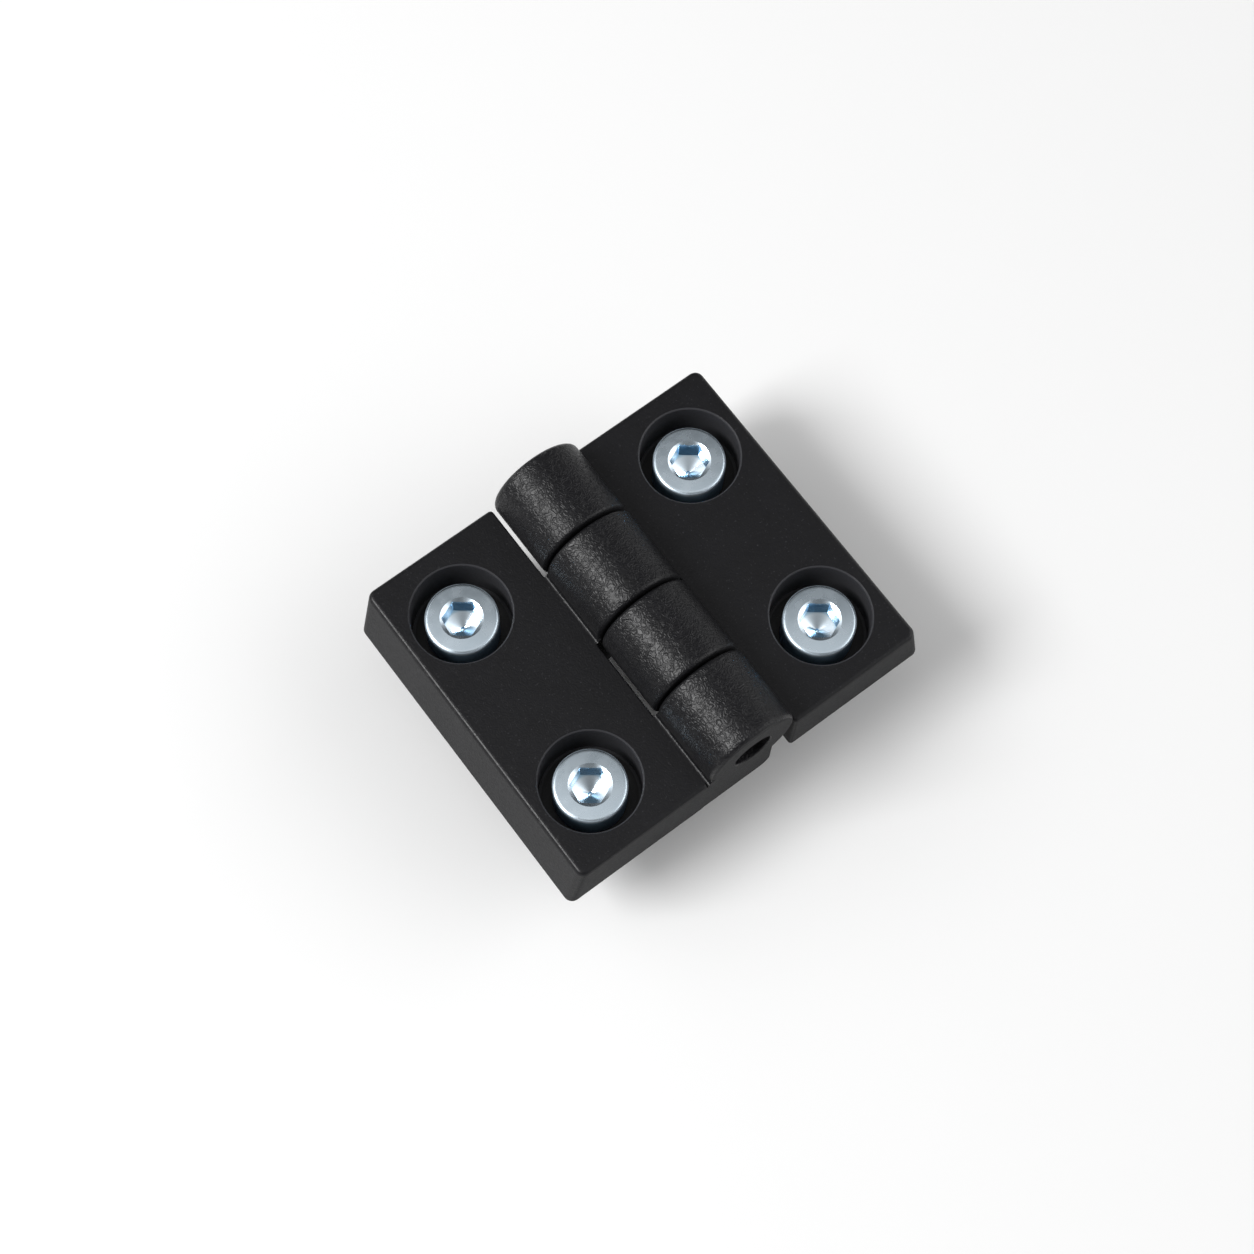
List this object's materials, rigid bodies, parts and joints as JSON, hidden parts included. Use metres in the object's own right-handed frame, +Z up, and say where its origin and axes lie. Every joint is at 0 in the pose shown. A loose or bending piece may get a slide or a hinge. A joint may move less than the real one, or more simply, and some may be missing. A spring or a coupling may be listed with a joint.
{
  "type": "plastic butt hinge",
  "caption": "Black moulded nylon butt hinge with interleaved knuckles on a steel pin, fastened to slotted profiles by socket cap screws sunk in counterbores.",
  "frame": {"origin": "middle of the rectangle of screws, on the mounting face, straight below the pin", "axes": "+X across the hinge from the left leaf to the right leaf, +Y along the pin towards the back, +Z up from the mounting face to the knuckles"},
  "size_m": [0.062, 0.0504, 0.0306],
  "materials": {
    "nylon": "matt black glass-filled nylon with a fine spark grain",
    "steel": "ground steel",
    "zinc": "blue-white zinc plated steel"
  },
  "bodies": {
    "left_leaf": {"leaf_left": "nylon", "hinge_pin": "steel", "screw_left_back": "zinc", "screw_left_front": "zinc"},
    "right_leaf": {"leaf_right": "nylon", "screw_right_back": "zinc", "screw_right_front": "zinc"}
  },
  "joints": [
    {"name": "leaf_fold", "type": "hinge", "parent": "left_leaf", "child": "right_leaf", "pos_m": [0, 0, 0.012], "axis": [0, -1, 0], "range_deg": [-20, 180]}
  ]
}
